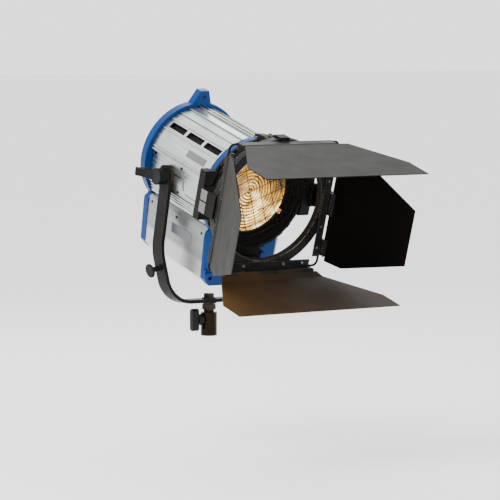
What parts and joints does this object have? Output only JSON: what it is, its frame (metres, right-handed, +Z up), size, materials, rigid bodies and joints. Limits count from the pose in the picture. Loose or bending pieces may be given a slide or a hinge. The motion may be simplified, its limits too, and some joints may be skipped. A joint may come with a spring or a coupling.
{
  "type": "fresnel spotlight",
  "caption": "Tilting tungsten fresnel spotlight on a yoke, with a focusing lamp carriage, hinged lens door, wire guard and turning four-leaf barn door.",
  "frame": {"origin": "centre of the stand socket's open mouth, at the bottom of the yoke", "axes": "+Z up along the stand stud; the beam leaves towards -Y and dips 17 degrees; the tilt axis is parallel to X"},
  "size_m": [0.3451, 0.5161, 0.4183],
  "materials": {
    "blue_casting": "blue enamel, semi-gloss, on die-cast aluminium",
    "bright_shell": "satin extruded aluminium with fine lengthwise grain",
    "grey_housing": "satin folded aluminium sheet",
    "black_sheet": "heat-proof matt black on aluminium sheet",
    "leaf_black": "heat-proof matt black on thin aluminium sheet",
    "ring_metal": "worn black over bright aluminium",
    "black_steel": "black powder coat on steel strip",
    "cast_bronze_grey": "dull machined steel",
    "zinc_steel": "zinc-plated steel",
    "black_plastic": "matt black moulded plastic",
    "washer_fibre": "dark fibre friction washer",
    "lens_glass": "clear heat-proof pressed glass",
    "reflector_mirror": "polished aluminium mirror",
    "ceramic": "white ceramic",
    "carriage_metal": "plain machined aluminium",
    "brass_nut": "plain brass",
    "tungsten": "coiled tungsten wire"
  },
  "bodies": {
    "yoke": {"yoke_bar": "black_steel", "stand_socket": "cast_bronze_grey", "neck_nut": "zinc_steel", "yoke_washers": "zinc_steel", "yoke_bolt": "zinc_steel", "cable_hooks": "black_steel"},
    "clamp_screw": {"socket_screw": "zinc_steel", "socket_handle": "black_plastic"},
    "tilt_lock": {"tilt_lever": "black_plastic"},
    "head": {"rear_frame": "blue_casting", "front_frame": "blue_casting", "top_shell": "bright_shell", "vent_baffles": "black_sheet", "side_panels": "bright_shell", "lower_rails": "bright_shell", "lower_housing": "grey_housing", "chassis_plate": "black_sheet", "rear_cover": "black_sheet", "lower_rear_cover": "black_sheet", "tie_rods": "zinc_steel", "frame_screws": "zinc_steel", "cable_gland": "black_plastic", "terminal_block": "ceramic", "guide_rods": "zinc_steel", "pivot_studs": "zinc_steel", "pivot_plates": "zinc_steel", "friction_washers": "washer_fibre", "far_pivot_nut": "zinc_steel", "door_hinge_pin": "zinc_steel"},
    "focus_drive": {"focus_knob": "black_plastic", "focus_screw": "zinc_steel"},
    "lamp_carriage": {"carriage": "carriage_metal", "focus_nut": "brass_nut", "lamp_holder": "ceramic", "lamp_base": "ceramic", "lamp_bulb": "lens_glass", "filament": "tungsten", "reflector": "reflector_mirror", "reflector_bracket": "black_sheet"},
    "lens_door": {"door_ring": "black_sheet", "fresnel_lens": "lens_glass", "lens_clips": "zinc_steel", "wire_guard": "black_steel", "accessory_brackets": "black_steel", "catch_bracket": "black_steel", "catch_pin": "zinc_steel", "latch_block": "black_steel", "latch_pin": "zinc_steel"},
    "door_catch": {"door_latch": "black_steel"},
    "top_catch": {"accessory_catch": "black_steel"},
    "barn_door": {"barn_ring": "ring_metal", "hinge_plates": "ring_metal", "hinge_pins": "zinc_steel", "corner_wires": "black_steel"},
    "leaf_top": {"top_leaf": "leaf_black"},
    "leaf_bottom": {"bottom_leaf": "leaf_black"},
    "leaf_near": {"near_leaf": "leaf_black"},
    "leaf_far": {"far_leaf": "leaf_black"}
  },
  "joints": [
    {"name": "head_tilt", "type": "hinge", "parent": "yoke", "child": "head", "pos_m": [0, 0, 0.273], "axis": [-1, 0, 0], "range_deg": [-35, 77]},
    {"name": "tilt_lock_turn", "type": "hinge", "parent": "yoke", "child": "tilt_lock", "pos_m": [0, 0, 0.273], "axis": [-1, 0, 0], "range_deg": [-45, 60]},
    {"name": "clamp_screw_turn", "type": "hinge", "parent": "yoke", "child": "clamp_screw", "pos_m": [0, 0, 0.028], "axis": [-1, 0, 0], "range_deg": [0, 720]},
    {"name": "focus_knob_turn", "type": "hinge", "parent": "head", "child": "focus_drive", "pos_m": [0, 0.09325, 0.2074], "axis": [0, -0.9563, -0.2924], "range_deg": [-1261, 1621]},
    {"name": "carriage_slide", "type": "slide", "parent": "head", "child": "lamp_carriage", "axis": [0, -0.9563, -0.2924], "range_m": [-0.045, 0.035]},
    {"name": "front_door_hinge", "type": "hinge", "parent": "head", "child": "lens_door", "pos_m": [0, -0.1089, 0.1435], "axis": [1, 0, 0], "range_deg": [0, 60]},
    {"name": "door_latch_hinge", "type": "hinge", "parent": "lens_door", "child": "door_catch", "pos_m": [0, -0.16942, 0.34146], "axis": [1, 0, 0], "range_deg": [0, 50]},
    {"name": "accessory_catch_hinge", "type": "hinge", "parent": "lens_door", "child": "top_catch", "pos_m": [0, -0.19668, 0.3417], "axis": [-1, 0, 0], "range_deg": [0, 90]},
    {"name": "barn_door_turn", "type": "hinge", "parent": "lens_door", "child": "barn_door", "pos_m": [0, -0.18005, 0.23259], "axis": [0, -0.9563, -0.2924], "continuous": true},
    {"name": "top_leaf_hinge", "type": "hinge", "parent": "barn_door", "child": "leaf_top", "pos_m": [0, -0.23899, 0.3296], "axis": [-1, 0, 0], "range_deg": [-18, 100]},
    {"name": "bottom_leaf_hinge", "type": "hinge", "parent": "barn_door", "child": "leaf_bottom", "pos_m": [0, -0.17467, 0.11921], "axis": [1, 0, 0], "range_deg": [-18, 100]},
    {"name": "near_leaf_hinge", "type": "hinge", "parent": "barn_door", "child": "leaf_near", "pos_m": [-0.114, -0.20014, 0.22645], "axis": [0, 0.2924, -0.9563], "range_deg": [-113, 80]},
    {"name": "far_leaf_hinge", "type": "hinge", "parent": "barn_door", "child": "leaf_far", "pos_m": [0.114, -0.19765, 0.22721], "axis": [0, -0.2924, 0.9563], "range_deg": [-103, 80]}
  ],
  "couplings": [
    {"joint": "focus_knob_turn", "follows": "carriage_slide", "rad_per_m": -628.32}
  ]
}
